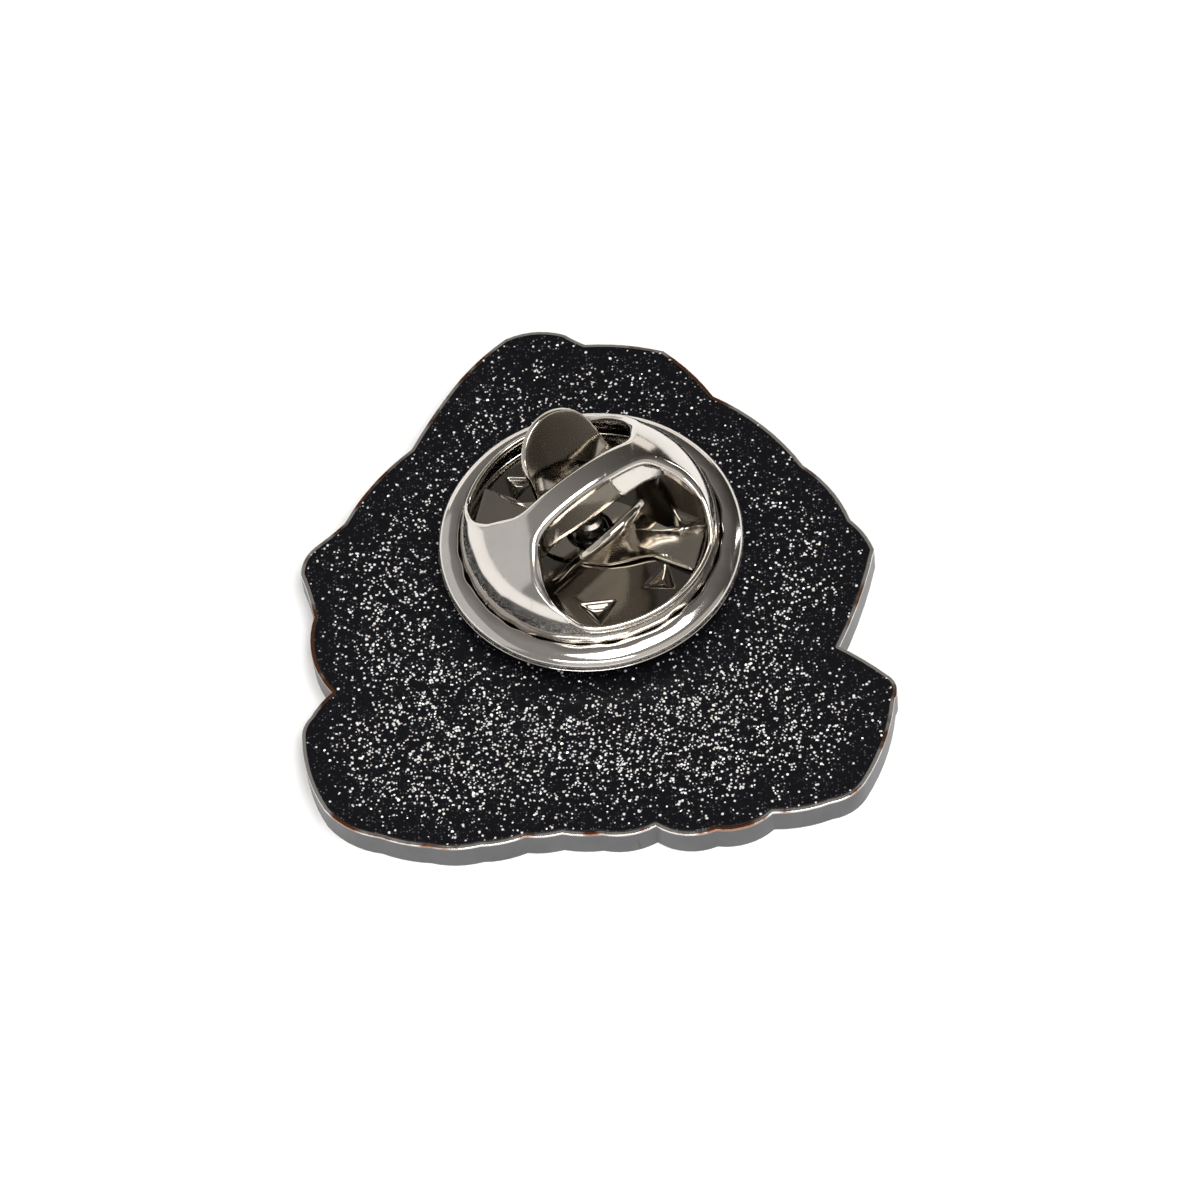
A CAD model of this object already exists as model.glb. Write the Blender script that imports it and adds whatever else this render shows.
import bmesh
import bpy
import numpy as np
from math import pi, radians
from mathutils import Matrix, Vector


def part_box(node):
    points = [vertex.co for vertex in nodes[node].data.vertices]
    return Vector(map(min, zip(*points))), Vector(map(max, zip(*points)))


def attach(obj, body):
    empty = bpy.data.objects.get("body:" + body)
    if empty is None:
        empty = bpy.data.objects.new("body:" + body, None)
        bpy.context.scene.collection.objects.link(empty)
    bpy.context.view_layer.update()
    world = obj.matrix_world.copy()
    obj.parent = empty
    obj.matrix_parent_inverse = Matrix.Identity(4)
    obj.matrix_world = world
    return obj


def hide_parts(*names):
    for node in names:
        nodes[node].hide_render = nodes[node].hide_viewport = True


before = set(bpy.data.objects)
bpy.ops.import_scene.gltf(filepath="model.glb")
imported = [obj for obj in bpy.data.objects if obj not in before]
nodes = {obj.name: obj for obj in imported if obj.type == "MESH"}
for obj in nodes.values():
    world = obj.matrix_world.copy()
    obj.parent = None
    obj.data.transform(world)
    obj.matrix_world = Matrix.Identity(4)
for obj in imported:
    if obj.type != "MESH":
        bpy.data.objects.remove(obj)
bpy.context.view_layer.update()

mm = 0.001               # every size below is in millimetres
touching = 0.0001 * mm   # points closer than this are one point
scene = bpy.context.scene

camera = {
    # place in millimetres; right, up and back are the camera's own axes
    "place": (9.378, -133.424, 201.737),
    "right": (0.99676, -0.03818, -0.07075),
    "up": (0.07068, 0.83561, 0.54476),
    "back": (0.03832, -0.54800, 0.83560),
    "lens": 192.24,
    "sensor": 36.0,
}


def makeCamera(s):
    data = bpy.data.cameras.new("pinCamera")
    data.lens = s["lens"]
    data.sensor_width = s["sensor"]
    data.clip_start = 0.005
    data.clip_end = 10.0
    eye = bpy.data.objects.new("pinCamera", data)
    turn = Matrix((s["right"], s["up"], s["back"])).transposed()
    eye.matrix_world = Matrix.Translation(Vector(s["place"]) * mm) @ turn.to_4x4()
    scene.collection.objects.link(eye)
    scene.camera = eye


makeCamera(camera)
print("camera placed")


# A mesh from points in millimetres, shaded smooth except at edges sharper than an angle.
def makePiece(name, points, faces, body, material, replaced=(), sharp=50):
    mesh = bpy.data.meshes.new(name)
    mesh.from_pydata((np.asarray(points).reshape(-1, 3) * mm).tolist(), [], faces)
    return finishPiece(name, mesh, body, material, replaced, sharp)


# Merges doubled points, turns the faces outwards and puts the piece on its body.
def finishPiece(name, mesh, body, material, replaced, sharp):
    bm = bmesh.new()
    bm.from_mesh(mesh)
    bmesh.ops.remove_doubles(bm, verts=bm.verts, dist=touching)
    bmesh.ops.recalc_face_normals(bm, faces=bm.faces)
    bm.to_mesh(mesh)
    bm.free()
    mesh.polygons.foreach_set("use_smooth", np.ones(len(mesh.polygons), bool))
    mesh.set_sharp_from_angle(angle=radians(sharp))
    mesh.materials.clear()
    mesh.materials.append(material)
    piece = bpy.data.objects.new(name, mesh)
    scene.collection.objects.link(piece)
    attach(piece, body)
    if replaced:
        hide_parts(*replaced)
    return piece


# Quads over a grid of points, numbered row by row, that may close on itself each way.
def gridFaces(rows, columns, closeRows=False, closeColumns=True):
    r = np.arange(rows if closeRows else rows - 1)
    c = np.arange(columns if closeColumns else columns - 1)
    r, c = (a.ravel() for a in np.meshgrid(r, c, indexing="ij"))
    below, beside = (r + 1) % rows, (c + 1) % columns
    return np.stack([r * columns + c, r * columns + beside,
                     below * columns + beside, below * columns + c], 1).tolist()


# A sheet gets its thickness, inwards at offset -1 or both ways at 0, and its cut edge a round.
def thicken(piece, thickness, offset, edgeRound, angle=50):
    solid = piece.modifiers.new("thickness", "SOLIDIFY")
    solid.thickness = thickness * mm
    solid.offset = offset
    soften = piece.modifiers.new("roundedEdge", "BEVEL")
    soften.width = edgeRound * mm
    soften.segments = 2
    soften.limit_method = "ANGLE"
    soften.angle_limit = radians(angle)


# Points turned about the z axis.
def turned(points, degrees):
    a = radians(degrees)
    x, y, z = np.moveaxis(np.asarray(points, float), -1, 0)
    return np.stack([x * np.cos(a) - y * np.sin(a), x * np.sin(a) + y * np.cos(a), z], -1)


# A closed loop through corners, spaced evenly and rounded by a low-pass filter.
def smoothLoop(corners, count, softness):
    ring = np.array(list(corners) + [corners[0]], float)
    run = np.r_[0, np.cumsum(np.linalg.norm(np.diff(ring, axis=0), axis=1))]
    even = np.linspace(0, run[-1], count, endpoint=False)
    loop = np.interp(even, run, ring[:, 0]) + 1j * np.interp(even, run, ring[:, 1])
    wave = np.fft.fftfreq(count, run[-1] / count)
    return np.fft.ifft(np.fft.fft(loop) * np.exp(-2 * (pi * softness * wave) ** 2))


# A smooth rise from 0 at the low value to 1 at the high one.
def smoothStep(value, low, high):
    t = np.clip((value - low) / (high - low), 0, 1)
    return t * t * (3 - 2 * t)


# Values along an even run, evened out by a bell-shaped window.
def smoothed(values, window, mode, **how):
    bell = np.hanning(window)
    padded = np.pad(values, window // 2, mode=mode, **how)
    return np.convolve(padded, bell / bell.sum(), "valid")


def newMaterial(name):
    material = bpy.data.materials.new(name)
    material.use_nodes = True
    tree = material.node_tree
    return material, tree, tree.nodes["Principled BSDF"]


def addNode(tree, kind, inputs=None, **settings):
    node = tree.nodes.new(kind)
    for key, value in settings.items():
        setattr(node, key, value)
    for key, value in (inputs or {}).items():
        if isinstance(value, bpy.types.NodeSocket):
            tree.links.new(value, node.inputs[key])
        else:
            node.inputs[key].default_value = value
    return node


# A mix of two colours, each given as a colour or as another node's output.
def mixColors(tree, factor, first, second):
    node = addNode(tree, "ShaderNodeMix", {"Factor": factor}, data_type="RGBA")
    for socket, side in ((node.inputs[6], first), (node.inputs[7], second)):
        if isinstance(side, bpy.types.NodeSocket):
            tree.links.new(side, socket)
        else:
            socket.default_value = (*side, 1)
    return node.outputs[2]


def joinValues(tree, operation, first, second):
    return addNode(tree, "ShaderNodeMath", {0: first, 1: second}, operation=operation).outputs[0]


def rangeValue(tree, value, low, high):
    return addNode(tree, "ShaderNodeMapRange", {"Value": value, "From Min": low,
                                                "From Max": high}).outputs[0]


def makeNoise(tree, place, scale, detail, **inputs):
    return addNode(tree, "ShaderNodeTexNoise", {"Vector": place, "Scale": scale, "Detail": detail,
                                                **inputs}).outputs["Fac"]


def objectPlace(tree):
    return addNode(tree, "ShaderNodeTexCoord").outputs["Object"]


def addBump(tree, shader, height, strength, depth):
    bump = addNode(tree, "ShaderNodeBump", {"Height": height, "Strength": strength,
                                            "Distance": depth * mm})
    tree.links.new(bump.outputs[0], shader.inputs["Normal"])


# scales are in waves per metre, the scratches' along each axis of their own turned frame
wear = {"lines": (2600, 150, 700), "turn": (0.4, 0.3, 0.7), "thin": (0.66, 0.74),
        "smear": 700.0, "dent": 900.0, "default": 0.3}


# Fine scratches, faint smears and a soft unevenness of stamped or plated metal.
def makeHandlingGroup(s):
    group = bpy.data.node_groups.new("handling", "ShaderNodeTree")
    for name, value in (("Scratches", s["default"]), ("Smears", s["default"]),
                        ("Dents", s["default"]), ("Scale", 1.0)):
        socket = group.interface.new_socket(name, in_out="INPUT", socket_type="NodeSocketFloat")
        socket.default_value = value
    for name in ("Roughness", "Height", "Tint"):
        group.interface.new_socket(name, in_out="OUTPUT", socket_type="NodeSocketFloat")
    given = addNode(group, "NodeGroupInput").outputs
    result = addNode(group, "NodeGroupOutput").inputs
    sized = addNode(group, "ShaderNodeVectorMath", {0: objectPlace(group)}, operation="SCALE")
    group.links.new(given["Scale"], sized.inputs["Scale"])
    stretched = addNode(group, "ShaderNodeMapping", {"Vector": sized.outputs[0],
                                                     "Scale": s["lines"], "Rotation": s["turn"]})
    lines = makeNoise(group, stretched.outputs[0], 1.0, 3.0)
    thin = rangeValue(group, lines, *s["thin"])
    scratch = joinValues(group, "MULTIPLY", thin, given["Scratches"])
    smear = makeNoise(group, sized.outputs[0], s["smear"], 4.0, Roughness=0.6)
    smeared = joinValues(group, "MULTIPLY", smear, given["Smears"])
    dent = makeNoise(group, sized.outputs[0], s["dent"], 1.0)
    dented = joinValues(group, "MULTIPLY", dent, given["Dents"])
    group.links.new(joinValues(group, "ADD", scratch, smeared), result["Roughness"])
    group.links.new(joinValues(group, "SUBTRACT", dented, scratch), result["Height"])
    group.links.new(smear, result["Tint"])
    return group


handling = makeHandlingGroup(wear)


# Plated metal: two close tones, uneven gloss, scratches and dents from the handling group.
def makeMetal(name, s):
    material, tree, shader = newMaterial(name)
    use = addNode(tree, "ShaderNodeGroup", node_tree=handling)
    for key in ("Scratches", "Smears", "Dents", "Scale"):
        use.inputs[key].default_value = s[key]
    tone = mixColors(tree, use.outputs["Tint"], s["dark"], s["light"])
    tree.links.new(tone, shader.inputs["Base Color"])
    rough = joinValues(tree, "ADD", use.outputs["Roughness"], s["roughness"])
    tree.links.new(rough, shader.inputs["Roughness"])
    addBump(tree, shader, use.outputs["Height"], s["bump"], 0.04)
    shader.inputs["Metallic"].default_value = 1.0
    return material, tree, shader, tone


clutchFinish = {"dark": (0.60, 0.57, 0.53), "light": (0.76, 0.73, 0.69), "roughness": 0.07,
                "Scratches": 0.12, "Smears": 0.10, "Dents": 0.6, "Scale": 1.0, "bump": 0.12}
clutchMetal = makeMetal("brightNickel", clutchFinish)[0]
wingFinish = dict(clutchFinish, dark=(0.46, 0.42, 0.36), light=(0.62, 0.58, 0.51), roughness=0.07,
                  Smears=0.04, Scratches=0.04, bump=0.03)
wingMetal = makeMetal("springSteel", wingFinish)[0]
discFinish = dict(clutchFinish, tarnish=(0.20, 0.182, 0.158), dull=(4.30, 4.60))


# The clutch's bottom plate: as bright as the cover on its rim, tarnished inside a radius.
def makeDiscMetal(s):
    material, tree, shader, tone = makeMetal("discNickel", s)
    flat = addNode(tree, "ShaderNodeVectorMath", {0: objectPlace(tree), 1: (1.0, 1.0, 0.0)},
                   operation="MULTIPLY")
    radius = addNode(tree, "ShaderNodeVectorMath", {0: flat.outputs[0]}, operation="LENGTH")
    bright = rangeValue(tree, radius.outputs["Value"], s["dull"][0] * mm, s["dull"][1] * mm)
    tree.links.new(mixColors(tree, bright, s["tarnish"], tone), shader.inputs["Base Color"])
    return material


discMetal = makeDiscMetal(discFinish)
postFinish = dict(clutchFinish, dark=(0.16, 0.15, 0.14), light=(0.34, 0.32, 0.30), roughness=0.22)
postMetal = makeMetal("postNickel", postFinish)[0]
solderFinish = {"dark": (0.30, 0.30, 0.30), "light": (0.50, 0.50, 0.49), "roughness": 0.32,
                "Scratches": 0.1, "Smears": 0.3, "Dents": 1.0, "Scale": 2.0, "bump": 0.4}
solderMetal = makeMetal("solder", solderFinish)[0]

plateFinish = {"dark": (0.085, 0.086, 0.092), "light": (0.165, 0.165, 0.17), "roughness": 0.30,
               "Scratches": 0.2, "Smears": 0.15, "Dents": 0.8, "Scale": 1.0, "bump": 0.3,
               "silver": (0.86, 0.84, 0.80), "copper": (0.30, 0.13, 0.07), "edge": (1.13, 1.20),
               "face": (0.05, 0.02), "patches": 420.0, "worn": (0.49, 0.56), "polish": 0.22}


# Satin plating, polished on the front face, rubbed bright on its back edge and worn through to
# copper there in patches. Edge and face are heights between which the finish changes.
def makePlateMetal(s):
    material, tree, shader, tone = makeMetal("satinNickel", s)
    place = objectPlace(tree)
    height = addNode(tree, "ShaderNodeSeparateXYZ", {0: place}).outputs["Z"]
    edge, face = (rangeValue(tree, height, low * mm, high * mm)
                  for low, high in (s["edge"], s["face"]))
    polished = joinValues(tree, "MAXIMUM", edge, face)
    worn = rangeValue(tree, makeNoise(tree, place, s["patches"], 4.0), *s["worn"])
    bare = joinValues(tree, "MULTIPLY", worn, edge)
    rim = mixColors(tree, bare, s["silver"], s["copper"])
    tree.links.new(mixColors(tree, polished, tone, rim), shader.inputs["Base Color"])
    rough = shader.inputs["Roughness"].links[0].from_socket
    gloss = addNode(tree, "ShaderNodeMix", {"Factor": polished, "A": rough, "B": s["polish"]},
                    data_type="FLOAT")
    tree.links.new(gloss.outputs[0], shader.inputs["Roughness"])
    return material


plateMetal = makePlateMetal(plateFinish)

coatFinish = {"black": (0.0035, 0.0035, 0.005), "speck": (0.24, 0.25, 0.265), "cells": 9500.0,
              "grain": (0.36, 0.22), "rarity": 4.0, "grit": 5000.0, "bump": 0.25,
              "roughness": 0.28, "specular": 0.18}


# Black lacquer with dim metal dust: one small round grain in some cells of a cell pattern.
def makeSparkleCoat(s):
    material, tree, shader = newMaterial("sparkleLacquer")
    place = objectPlace(tree)
    cell = addNode(tree, "ShaderNodeTexVoronoi", {"Vector": place, "Scale": s["cells"],
                                                  "Randomness": 1.0})
    grain = rangeValue(tree, cell.outputs["Distance"], *s["grain"])
    chance = addNode(tree, "ShaderNodeSeparateColor", {0: cell.outputs["Color"]}).outputs["Red"]
    bright = joinValues(tree, "POWER", chance, s["rarity"])
    seen = joinValues(tree, "MULTIPLY", grain, bright)
    tree.links.new(mixColors(tree, seen, s["black"], s["speck"]), shader.inputs["Base Color"])
    tree.links.new(seen, shader.inputs["Metallic"])
    addBump(tree, shader, makeNoise(tree, place, s["grit"], 2.0), s["bump"], 0.02)
    shader.inputs["Roughness"].default_value = s["roughness"]
    shader.inputs["Specular IOR Level"].default_value = s["specular"]
    return material


sparkleCoat = makeSparkleCoat(coatFinish)


flakeFinish = {"dust": 1500.0, "dusty": 0.7, "metallic": 0.3, "roughness": 0.35}


# Glitter: bright foil, dulled unevenly.
def makeFlakeMetal(name, color, s):
    material, tree, shader = newMaterial(name)
    dust = makeNoise(tree, objectPlace(tree), s["dust"], 2.0)
    tone = mixColors(tree, dust, [s["dusty"] * c for c in color], color)
    tree.links.new(tone, shader.inputs["Base Color"])
    shader.inputs["Metallic"].default_value = s["metallic"]
    shader.inputs["Roughness"].default_value = s["roughness"]
    return material


enamelColors = {
    "enamel_snow": ("enamel_white", (0.80, 0.83, 0.86)),
    "enamel_slope_light": ("enamel_sky", (0.16, 0.34, 0.55)),
    "enamel_slope_shade": ("enamel_slate", (0.035, 0.075, 0.19)),
    "enamel_hills": ("enamel_green", (0.02, 0.14, 0.06)),
    "enamel_cloud": ("enamel_cream", (0.82, 0.72, 0.52)),
    "enamel_lake": ("enamel_teal", (0.01, 0.17, 0.20)),
}


enamelFinish = {"mottle": 400.0, "dark": 0.85, "light": 1.1, "Scratches": 0.10, "Smears": 0.08,
                "roughness": 0.08, "bump": 0.08, "gloss": 0.6}


# Polished hard enamel: faint mottling, light handling marks and a clear gloss.
def makeEnamel(name, color, s):
    material, tree, shader = newMaterial(name)
    mottle = makeNoise(tree, objectPlace(tree), s["mottle"], 4.0)
    tone = mixColors(tree, mottle, [s["dark"] * c for c in color],
                     [min(1, s["light"] * c) for c in color])
    tree.links.new(tone, shader.inputs["Base Color"])
    use = addNode(tree, "ShaderNodeGroup", node_tree=handling)
    for key in ("Scratches", "Smears"):
        use.inputs[key].default_value = s[key]
    rough = joinValues(tree, "ADD", use.outputs["Roughness"], s["roughness"])
    tree.links.new(rough, shader.inputs["Roughness"])
    addBump(tree, shader, use.outputs["Height"], s["bump"], 0.03)
    shader.inputs["Coat Weight"].default_value = s["gloss"]
    return material


print("materials made")


# degrees that count as flat or as a corner; a wall is tall above this share of the height
softening = {"flat": 0.6, "corner": 45, "tall": 0.95, "low": 0.01, "segments": 3}


# A CAD shape with its edges merged, its flat faces joined and its corners rounded; the round is
# wider on the front edge of a full-height wall, if one is given.
def softCopy(node, name, body, material, width, front=0.0, sharp=35, s=softening):
    mesh = nodes[node].data.copy()
    bm = bmesh.new()
    bm.from_mesh(mesh)
    bmesh.ops.remove_doubles(bm, verts=bm.verts, dist=touching)
    bmesh.ops.dissolve_limit(bm, angle_limit=radians(s["flat"]), verts=bm.verts, edges=bm.edges)
    weight = bm.edges.layers.float.new("bevel_weight_edge")
    tall = s["tall"] * max(v.co.z for v in bm.verts)
    for edge in bm.edges:
        if edge.calc_face_angle(0) > radians(s["corner"]):
            low = max(v.co.z for v in edge.verts) < s["low"] * mm
            wall = any(max(v.co.z for v in face.verts) > tall for face in edge.link_faces)
            edge[weight] = width / front if front and not (low and wall) else 1.0
    bm.to_mesh(mesh)
    bm.free()
    mesh.name = name
    piece = finishPiece(name, mesh, body, material, (node,), sharp)
    soften = piece.modifiers.new("roundedEdge", "BEVEL")
    soften.width = max(width, front) * mm
    soften.segments = s["segments"]
    soften.limit_method = "WEIGHT"
    soften.harden_normals = True


softCopy("plate", "struck_plate", "badge", plateMetal, 0.055, front=0.16, sharp=14)
softCopy("back_coat", "sparkle_lacquer", "badge", sparkleCoat, 0.04)
softCopy("post", "post_nail", "badge", postMetal, 0.015)
softCopy("solder_fillet", "solder_ring", "badge", solderMetal, 0.01)
for node, (name, color) in enamelColors.items():
    nodes[node].data.materials.clear()
    nodes[node].data.materials.append(makeEnamel(name, color, enamelFinish))
print("badge made")


glitter = {
    "count": 5000, "draws": 5, "seed": 7, "size": (0.028, 0.062), "tilt": 13, "steepest": 60,
    "lift": 0.004, "rise": 0.3, "middle": (-1.5, -6.5), "spread": (13.0, 12.0), "least": 0.34,
    "edge": 0.1, "margin": 2.4, "rimShare": 0.18, "bare": 5.6,
    # name, colour and share of each tint
    "tints": [("glitter_silver", (0.97, 0.97, 0.97), 0.72),
              ("glitter_gold", (0.93, 0.86, 0.78), 0.18),
              ("glitter_green", (0.78, 0.88, 0.88), 0.10)],
}


# Six-sided flakes strewn over the lacquer, denser round its middle, thinner near its rim and round
# the clutch, each tipped at random about a level axis.
def makeGlitter(s):
    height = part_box("back_coat")[1][2] / mm
    mesh = nodes["back_coat"].data
    co = np.zeros(len(mesh.vertices) * 3)
    mesh.vertices.foreach_get("co", co)
    co = co.reshape(-1, 3) / mm
    tri = np.array([p.vertices[:] for p in mesh.polygons])
    top = tri[(co[tri][:, :, 2] > height - 0.001).all(1)]
    a, b, c = (co[top[:, k], :2] for k in range(3))
    area = 0.5 * np.abs((b - a)[:, 0] * (c - a)[:, 1] - (b - a)[:, 1] * (c - a)[:, 0])
    draw = np.random.default_rng(s["seed"])
    many = s["count"] * s["draws"]
    pick = draw.choice(len(top), many, p=area / area.sum())
    u, v = draw.random(many), draw.random(many)
    u, v = np.where(u + v > 1, 1 - u, u), np.where(u + v > 1, 1 - v, v)
    spot = a[pick] + (b - a)[pick] * u[:, None] + (c - a)[pick] * v[:, None]
    off = (spot - s["middle"]) / s["spread"]
    dense = s["least"] + (1 - s["least"]) * np.exp(-(off ** 2).sum(1))
    # the rim is the edges that belong to one triangle only
    side = np.sort(np.concatenate([top[:, [0, 1]], top[:, [1, 2]], top[:, [2, 0]]]), 1)
    side, times = np.unique(side, axis=0, return_counts=True)
    ends = co[side[times == 1]][:, :, :2]
    rim = (ends[:, :1] + (ends[:, 1:] - ends[:, :1]) * np.linspace(0, 1, 4)[:, None]).reshape(-1, 2)
    gap = np.array([np.hypot(*(rim - p).T).min() for p in spot])
    for distance, low, high in ((np.hypot(*spot.T), s["bare"], s["bare"] + s["margin"]),
                                (gap, s["edge"], s["margin"])):
        dense = dense * (s["rimShare"] + (1 - s["rimShare"]) * smoothStep(distance, low, high))
    spot = spot[draw.random(many) < dense][:s["count"]]
    n = len(spot)
    size = s["size"][0] + (s["size"][1] - s["size"][0]) * draw.random(n) ** 2
    tilt = np.minimum(radians(s["tilt"]) * np.abs(draw.normal(size=n)), radians(s["steepest"]))
    way = draw.random(n) * 2 * pi
    spin = draw.random(n)[:, None] * 2 * pi + np.arange(6) * pi / 3
    x, y = np.cos(spin) * size[:, None], np.sin(spin) * size[:, None]
    ax, ay = np.cos(way)[:, None], np.sin(way)[:, None]
    along, across = x * ax + y * ay, -x * ay + y * ax
    flat, rise = across * np.cos(tilt)[:, None], across * np.sin(tilt)[:, None]
    middle = height + s["lift"] + np.abs(size * np.sin(tilt))[:, None] * s["rise"]
    points = np.stack([spot[:, :1] + along * ax - flat * ay,
                       spot[:, 1:] + along * ay + flat * ax, middle + rise], -1)
    kind = draw.choice(3, n, p=[share for _, _, share in s["tints"]])
    for k, (name, color, _) in enumerate(s["tints"]):
        some = points[kind == k]
        faces = np.arange(len(some) * 6).reshape(-1, 6).tolist()
        mesh = bpy.data.meshes.new(name)
        mesh.from_pydata((some.reshape(-1, 3) * mm).tolist(), [], faces)
        mesh.materials.append(makeFlakeMetal(name, color, flakeFinish))
        piece = bpy.data.objects.new(name, mesh)
        scene.collection.objects.link(piece)
        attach(piece, "badge")


makeGlitter(glitter)
print("glitter strewn")


base = {
    "rim": 5.75, "rimHeight": 2.45, "roll": 0.42, "sheet": 0.25, "lip": 4.94, "lipTop": 2.90,
    "tip": 0.10, "foot": 2.38, "floor": 4.40, "floorTop": 2.95, "step": 0.18, "middle": 2.70,
    "hole": 0.66, "collar": 0.14, "burr": 0.24, "ribs": 8, "ribAngle": 48, "ribInner": 3.10,
    "ribOuter": 4.20, "ribHalf": 0.78, "ribDepth": 0.25, "ribWall": 0.34, "columns": 480,
    # where crimping waves the lip and handling swells the rim: radii and heights
    "crimpIn": (5.02, 5.35), "crimpUp": (2.55, 2.65), "crimpFrom": 4.9, "swellOut": (5.0, 5.4),
    # waves round the axis: number, size and phase of each
    "crimp": [(23, 0.022, 0), (32, 0.0132, 1), (15, 0.011, 2.3)],
    "lift": [(18, 0.0088, pi / 2)],
    "swell": [(7, 0.010, 0.6), (11, 0.008, 2.0)],
}


def arcPoints(centre, radius, start, end, count):
    return ellipsePoints(centre, (radius, radius), start, end, count)


def ellipsePoints(centre, half, start, end, count):
    a = np.radians(np.linspace(start, end, count))
    return np.stack([centre[0] + half[0] * np.cos(a), centre[1] + half[1] * np.sin(a)], 1)


# Points along a line, without its two ends.
def linePoints(start, end, count):
    return np.linspace(start, end, count + 1)[1:-1]


def waves(azimuth, terms):
    return sum(size * np.sin(count * azimuth + phase) for count, size, phase in terms)


# Depth of the punched ribs: triangles that point outwards, with sloping walls.
def ribDrop(r, azimuth, s):
    pitch = 2 * pi / s["ribs"]
    off = (azimuth - radians(s["ribAngle"]) + pitch / 2) % pitch - pitch / 2
    out, side = r * np.cos(off), np.abs(r * np.sin(off))
    slope = s["ribHalf"] / (s["ribOuter"] - s["ribInner"])
    inside = np.minimum(((s["ribOuter"] - out) * slope - side) / np.hypot(1, slope),
                        out - s["ribInner"])
    return s["ribDepth"] * smoothStep(inside, 0, s["ribWall"])


# A closed section carried round the axis, from the burred hole over the floor, the ledge and the
# rolled rim, and back below; its lip is waved by crimping and its floor ribbed.
def makeBase(s):
    centre = (s["rim"] - s["roll"], s["rimHeight"])
    bottom = s["rimHeight"] - s["roll"]
    ledge, under = bottom + s["sheet"], s["floorTop"] - s["sheet"]
    burrTop = s["floorTop"] + s["burr"]
    collar = s["hole"] + s["collar"]
    tip, step = s["tip"], s["floor"] + s["step"]
    section = np.concatenate([
        [(s["hole"], under + 0.05), (s["hole"], burrTop - 0.03), (s["hole"] + 0.03, burrTop),
         (s["hole"] + 0.06, burrTop), (collar - 0.03, s["floorTop"] + 0.08),
         (collar + 0.04, s["floorTop"] + 0.01)],
        linePoints((collar, s["floorTop"]), (s["middle"], s["floorTop"]), 14),
        linePoints((s["middle"], s["floorTop"]), (s["floor"] - 0.05, s["floorTop"]), 34),
        arcPoints((s["floor"] - 0.08, s["floorTop"] - 0.08), 0.08, 90, 10, 5),
        linePoints((s["floor"], s["floorTop"] - 0.10), (step, ledge + 0.06), 5),
        [(step + 0.05, ledge), (centre[0] - 0.2, ledge)],
        arcPoints(centre, s["roll"] - s["sheet"], -90, 90, 9),
        arcPoints((s["lip"] + tip, s["lipTop"] - tip), tip, 270, 90, 9),
        ellipsePoints((s["lip"] + tip, s["foot"]),
                      (s["rim"] - s["lip"] - tip, s["lipTop"] - s["foot"]), 88, 0, 34),
        [(s["rim"] - 0.01, s["foot"] - 0.03), (s["rim"] - 0.06, s["foot"] - 0.06),
         (s["rim"] - 0.06, s["foot"] - 0.09), (s["rim"] - 0.02, s["foot"] - 0.12)],
        arcPoints(centre, s["roll"] - 0.02, -30, -90, 10),
        linePoints((centre[0], bottom), (step - s["sheet"], bottom), 6),
        linePoints((step - s["sheet"], bottom), (s["floor"] - s["sheet"], under), 5),
        linePoints((s["floor"] - s["sheet"], under), (s["middle"], under), 26),
        linePoints((s["middle"], under), (s["hole"], under), 10),
    ])
    azimuth = np.arange(s["columns"]) * 2 * pi / s["columns"]
    r = np.repeat(section[:, :1], s["columns"], 1)
    z = np.repeat(section[:, 1:], s["columns"], 1)
    inwards = 1 - smoothStep(r, *s["crimpIn"])
    lipShare = inwards * smoothStep(z, *s["crimpUp"]) * (r > s["crimpFrom"])
    r = r - waves(azimuth, s["crimp"]) * lipShare
    z = z - waves(azimuth, s["lift"]) * lipShare
    z = z + waves(azimuth, s["swell"]) * smoothStep(r, *s["swellOut"]) * (z > s["rimHeight"])
    z = z - ribDrop(r, azimuth, s)
    points = np.stack([r * np.cos(azimuth), r * np.sin(azimuth), z], -1)
    faces = gridFaces(len(section), s["columns"], closeRows=True)
    makePiece("clutch_disc_base", points, faces, "clutch_disc", discMetal,
              ("clutch_base",), sharp=60)


makeBase(base)
print("clutch base made")


cover = {
    "angle": 36, "crown": 6.60, "foot": 4.90, "full": 2.12, "flange": 5.29, "flangeTop": 2.57,
    "profile": 1201, "profileEnd": 6.0, "blend": 31, "sheet": 0.22, "edgeRound": 0.03,
    # corners of the right half of the window, then its arc
    "window": [(2.55, 0.58), (3.30, 1.50), (3.55, 2.40)], "windowAngle": 46,
    "windowRadius": 4.62, "softness": 0.34, "middle": (0, 1.7),
    # radius of the turned-down edge, depth of its web and the web's flare: at the bridge, at the
    # sides and on the arc
    "edge": (0.30, 0.27, 0.09), "web": (0.86, 0.20, 0.10), "flare": (0.38, 0.04, 0.0),
    "bridgeSide": (0.62, 1.30), "arcFrom": (3.55, 4.55), "webReach": 2.9, "webPower": 0.35,
    "columns": 340, "seam": 140, "rows": 44, "edgeRows": 9, "webRows": 5, "loop": 1440,
}


# Height of the dome's outside at a radius: a superellipse from the crown down to the flange,
# with its foot blended into the flat.
def domeHeight(r, s):
    x = np.linspace(0, s["profileEnd"], s["profile"])
    rise = s["crown"] - s["flangeTop"]
    inside = np.clip(1 - (x / s["foot"]) ** s["full"], 0, None)
    z = s["flangeTop"] + rise * inside ** (1 / s["full"])
    return np.interp(r, x, smoothed(z, s["blend"], "reflect", reflect_type="even"))


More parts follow.
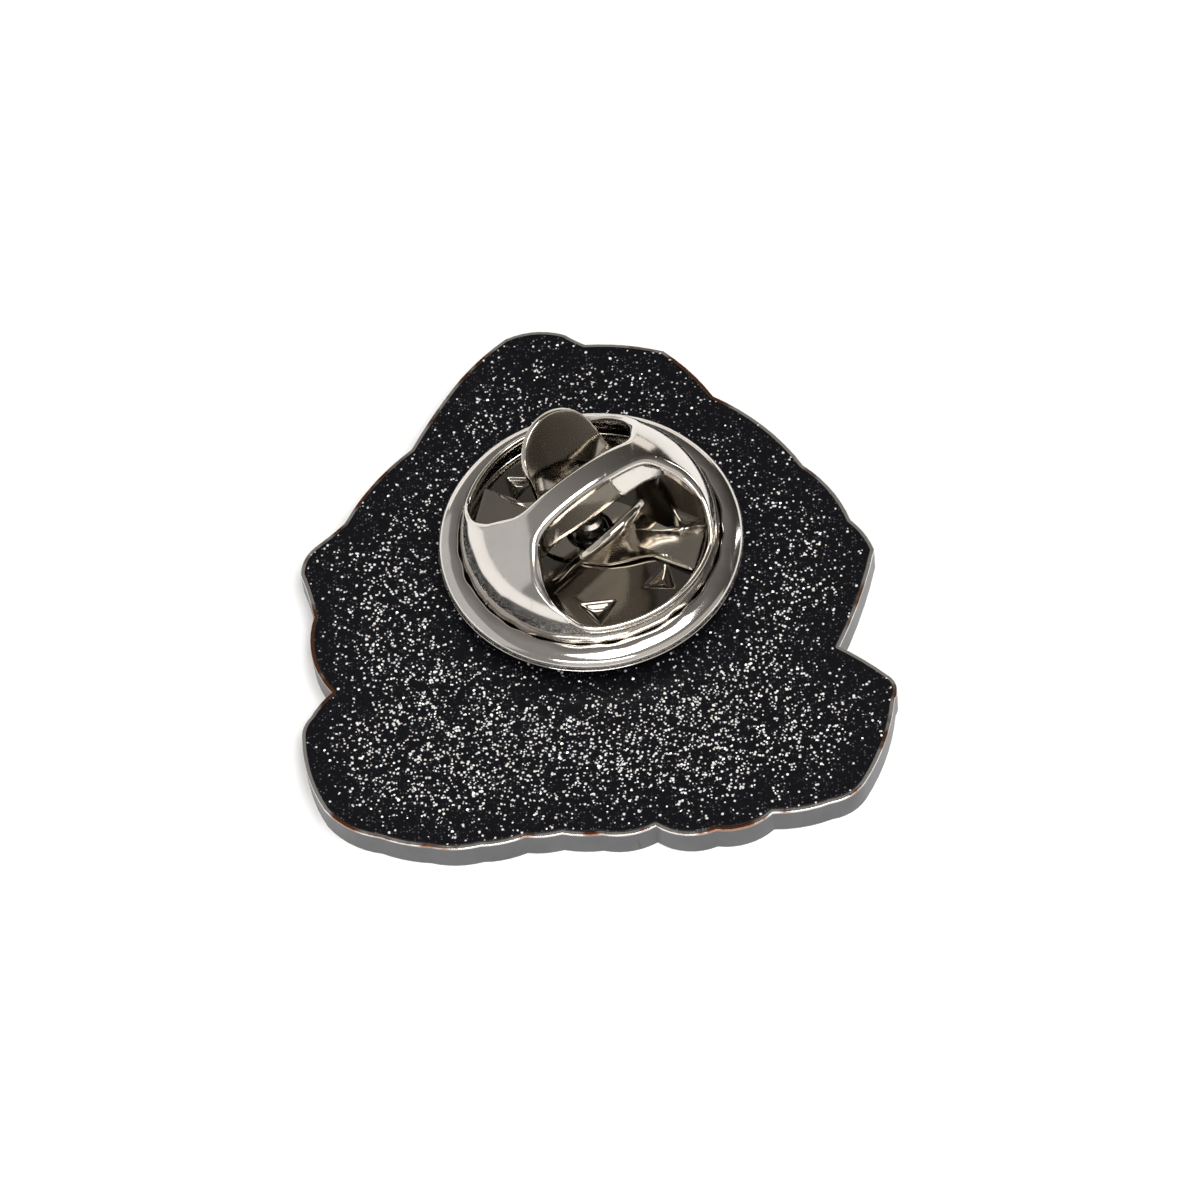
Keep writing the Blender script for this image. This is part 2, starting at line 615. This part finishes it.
# A window's outline round its middle: distance from there in each direction.
def windowReach(turn, s):
    start = radians(s["windowAngle"])
    arc = [(s["windowRadius"] * np.cos(a), s["windowRadius"] * np.sin(a))
           for a in np.linspace(start, pi - start, 40)[1:-1]]
    ring = [(-x, y) for x, y in s["window"][:1]] + s["window"] + arc + [
        (-x, y) for x, y in s["window"][:0:-1]]
    around = smoothLoop(ring, s["loop"], s["softness"]) - complex(*s["middle"])
    ray = np.unwrap(np.angle(around)) % (2 * pi)
    order = np.argsort(ray)
    return np.interp(turn % (2 * pi), ray[order], np.abs(around)[order], period=2 * pi)


# Two half sheets, each a fan of rows from a window's turned-down edge out to the flange and to the
# bridge's middle line, thickened inwards. Plan places are complex numbers.
def makeCover(s):
    centre = complex(*s["middle"])
    # the seam's points crowd towards the flange, where the dome's foot is steep
    seam = s["flange"] * np.sin(np.linspace(-pi / 2, pi / 2, s["seam"] + 1))[:-1]
    corner = np.arctan2(-centre.imag, s["flange"])
    turn = np.r_[np.arctan2(-centre.imag, seam),
                 np.linspace(corner, pi - corner, s["columns"] - s["seam"], endpoint=False)]
    edge = centre + windowReach(turn, s) * np.exp(1j * turn)
    away = np.roll(edge, -1) - np.roll(edge, 1)
    away = -1j * away / np.abs(away)                  # points from the window into the sheet
    bridge = 1 - smoothStep(edge.imag, *s["bridgeSide"])          # 1 along the bridge
    arc = smoothStep(np.abs(edge), *s["arcFrom"])
    middle = np.clip(1 - (edge.real / s["webReach"]) ** 2, 0, 1) ** s["webPower"]

    def along(sizes, share):
        atBridge, atSide, onArc = sizes
        return atSide + (onArc - atSide) * arc + (atBridge - atSide) * share

    bend = along(s["edge"], bridge)
    web = along(s["web"], bridge * middle)
    flare = along(s["flare"], bridge * middle)
    inner = edge
    for again in range(4):                            # the roll starts along the dome's slope
        r = np.abs(inner)
        fall = (domeHeight(r, s) - domeHeight(r + 0.02, s)) / 0.02
        lean = np.arctan(fall * (inner * away.conj()).real / r)
        inner = edge + away * bend * (1 + np.sin(lean))
    onFlange = np.abs(turn - pi / 2) < pi / 2 - corner + 1e-9
    toSeam = -centre.imag / np.sin(turn)
    dot = centre.imag * np.sin(turn)
    toFlange = -dot + np.sqrt(dot ** 2 + s["flange"] ** 2 - centre.imag ** 2)
    outer = centre + np.where(onFlange, toFlange, toSeam) * np.exp(1j * turn)
    rows = []
    low = domeHeight(np.abs(inner), s) - bend * np.cos(lean)
    for k in np.linspace(1, 0, s["webRows"], endpoint=False):
        rows.append((edge - away * flare * k, low - web * k))
    for k in np.linspace(1, 0, s["edgeRows"], endpoint=False):
        a = k * pi / 2 - (1 - k) * lean
        rows.append((edge + away * bend * (1 - np.sin(a)), low + bend * np.cos(a)))
    for v in np.linspace(0, 1, s["rows"]):
        plan = inner + (outer - inner) * v
        rows.append((plan, domeHeight(np.abs(plan), s)))
    half = np.array([np.stack([p.real, p.imag, z], -1) for p, z in rows])
    points = np.concatenate([turned(half, s["angle"]), turned(half, s["angle"] + 180)])
    faces = gridFaces(len(rows), s["columns"])
    more = (np.array(faces) + half.shape[0] * half.shape[1]).tolist()
    piece = makePiece("clutch_dome_cover", points, faces + more, "clutch_shell",
                      clutchMetal, ("clutch_cover",), sharp=80)
    thicken(piece, s["sheet"], -1, s["edgeRound"])


makeCover(cover)
print("clutch cover made")


strap = {
    "angle": -16, "hole": 0.90, "reach": 4.28, "height": 3.07, "sheet": 0.12, "edgeRound": 0.03,
    # half width at each distance along
    "along": (0, 1.0, 1.7, 2.4, 3.0, 3.6, 4.28),
    "half": (1.45, 1.40, 1.12, 0.74, 0.58, 0.70, 1.05),
    "curl": 0.10, "curlFrom": (0.8, 2.2), "warp": 0.03, "wave": (1.25, 0.5), "warpFrom": (0.9, 1.8),
    "softness": 0.05, "columns": 240, "rows": 36,
}


# A waisted sheet with a round eye: rows from the eye out to its outline, whose edges curl up, and
# a long low wave along it.
def makeStrap(s):
    x = np.linspace(0, s["reach"], 60)
    half = smoothed(np.interp(x, s["along"], s["half"]), 13, "edge")
    quarter = np.stack([x, half], 1)
    ring = np.concatenate([quarter[::-1], quarter[1:] * (-1, 1),
                           quarter[::-1] * (-1, -1), quarter[1:] * (1, -1)])
    loop = smoothLoop(ring, s["columns"], s["softness"])
    eye = s["hole"] * loop / np.abs(loop)
    v = np.linspace(0, 1, s["rows"])[:, None]
    plan = eye + (loop - eye) * v
    along, across = plan.real, plan.imag
    curl = s["curl"] * v ** 3 * smoothStep(np.abs(loop.real), *s["curlFrom"])
    rate, phase = s["wave"]
    warp = s["warp"] * np.sin(along * rate + phase) * smoothStep(np.abs(along), *s["warpFrom"])
    points = turned(np.stack([along, across, s["height"] + curl + warp], -1), s["angle"])
    piece = makePiece("spring_cross_strap", points, gridFaces(s["rows"], s["columns"]),
                      "clutch_shell", wingMetal, ("spring_strap",))
    thicken(piece, s["sheet"], 0, s["edgeRound"])


makeStrap(strap)
print("spring strap made")


wings = {
    # body, name, direction, lean from upright, shift along the width, length, dish
    "wing_far": ("far_lever", "wing_far_tongue", 44.5, 36, 0.81, 4.16, 0.30),
    "wing_near": ("near_lever", "wing_near_tongue", 224.5, 30.5, 0.64, 4.30, 0.38),
}
tongue = {"end": 1.70, "toe": 2.10, "toeHeight": 3.35, "toeOut": 0.70, "dishFrom": (0.3, 2.4),
          "sheet": 0.22, "edgeRound": 0.04, "softness": 0.05, "columns": 200, "rows": 26}


# A leaning tongue with a wide toe and a round end, dished in its middle.
def makeWing(node, body, name, angle, lean, shift, length, dish, s):
    a = np.linspace(0, pi, 60)
    tipStart = length - s["end"]
    ring = [(-s["toe"], 0), (s["toe"], 0)] + [
        (s["end"] * np.cos(t), tipStart + s["end"] * np.sin(t)) for t in a]
    loop = smoothLoop(ring, s["columns"], s["softness"])
    centre = 1j * length / 2
    v = np.linspace(0, 1, s["rows"])[:, None]
    plan = centre + (loop - centre) * v
    across, along = plan.real, plan.imag
    hollow = dish * (0.5 - v ** 2) * smoothStep(along, *s["dishFrom"])
    out = s["toeOut"] + hollow
    tilt = radians(lean)
    points = np.stack([across + shift, out + along * np.sin(tilt),
                       s["toeHeight"] + along * np.cos(tilt)], -1)
    piece = makePiece(name, turned(points, angle), gridFaces(s["rows"], s["columns"]), body,
                      wingMetal, (node,))
    thicken(piece, s["sheet"], 0, s["edgeRound"])


for node, (body, *values) in wings.items():
    makeWing(node, body, *values, tongue)
print("spring wings made")


paper = {"shade": 0.93, "light": 0.95, "grain": 300.0, "roughness": 0.7, "specular": 0.2,
         "half": 1.0, "below": 0.02}


# White paper, a little uneven.
def makePaper(s):
    material, tree, shader = newMaterial("paper")
    grain = makeNoise(tree, objectPlace(tree), s["grain"], 2.0)
    tone = mixColors(tree, grain, [s["shade"]] * 3, [s["light"]] * 3)
    tree.links.new(tone, shader.inputs["Base Color"])
    shader.inputs["Roughness"].default_value = s["roughness"]
    shader.inputs["Specular IOR Level"].default_value = s["specular"]
    return material


floorMesh = bpy.data.meshes.new("floor")
floorMesh.from_pydata([(paper["half"] * x, paper["half"] * y, 0)
                       for x, y in ((-1, -1), (1, -1), (1, 1), (-1, 1))], [], [(0, 1, 2, 3)])
floorMesh.materials.append(makePaper(paper))
floor = bpy.data.objects.new("floor", floorMesh)
floor.location.z = -paper["below"] * mm
scene.collection.objects.link(floor)

lights = [
    # name, place in metres, width, height, power in watts, colour
    ("overhead", (0.12, -0.16, 0.58), 0.44, 0.34, 3.9, (1.0, 0.99, 0.97)),
    ("leftWall", (-0.62, 0.05, 0.28), 1.10, 0.60, 0.7, (0.99, 0.99, 1.0)),
    ("rightStrip", (0.55, 0.30, 0.20), 0.04, 0.30, 0.35, (1.0, 0.98, 0.95)),
    ("frontStrip", (-0.05, -0.52, 0.34), 0.50, 0.06, 0.9, (1.0, 1.0, 1.0)),
    ("frontWall", (0.40, -0.62, 0.26), 2.20, 0.45, 1.25, (1.0, 0.96, 0.91)),
    ("backWall", (-0.10, 0.85, 0.13), 1.20, 0.22, 0.9, (1.0, 0.95, 0.88)),
]
for name, place, width, height, power, color in lights:
    data = bpy.data.lights.new(name, "AREA")
    data.shape = "RECTANGLE"
    data.size, data.size_y = width, height
    data.energy = power
    data.color = color
    lamp = bpy.data.objects.new(name, data)
    lamp.location = place
    lamp.rotation_euler = (-Vector(place)).to_track_quat("-Z", "Y").to_euler()
    scene.collection.objects.link(lamp)

sky = {"light": (0.31, 0.30, 0.29), "dark": (0.035, 0.028, 0.021), "towards": (0.75, 0.65, 0.0),
       "start": -0.2, "end": 1.0}


# A dim room that darkens towards one side.
def makeSky(s):
    world = bpy.data.worlds.new("studio")
    scene.world = world
    world.use_nodes = True
    tree = world.node_tree
    way = addNode(tree, "ShaderNodeTexCoord")
    turn = addNode(tree, "ShaderNodeVectorMath", {0: way.outputs["Generated"], 1: s["towards"]},
                   operation="DOT_PRODUCT")
    share = rangeValue(tree, turn.outputs["Value"], s["start"], s["end"])
    tone = mixColors(tree, share, s["light"], s["dark"])
    tree.links.new(tone, tree.nodes["Background"].inputs["Color"])


makeSky(sky)
scene.view_settings.view_transform = "Standard"
print("light set")
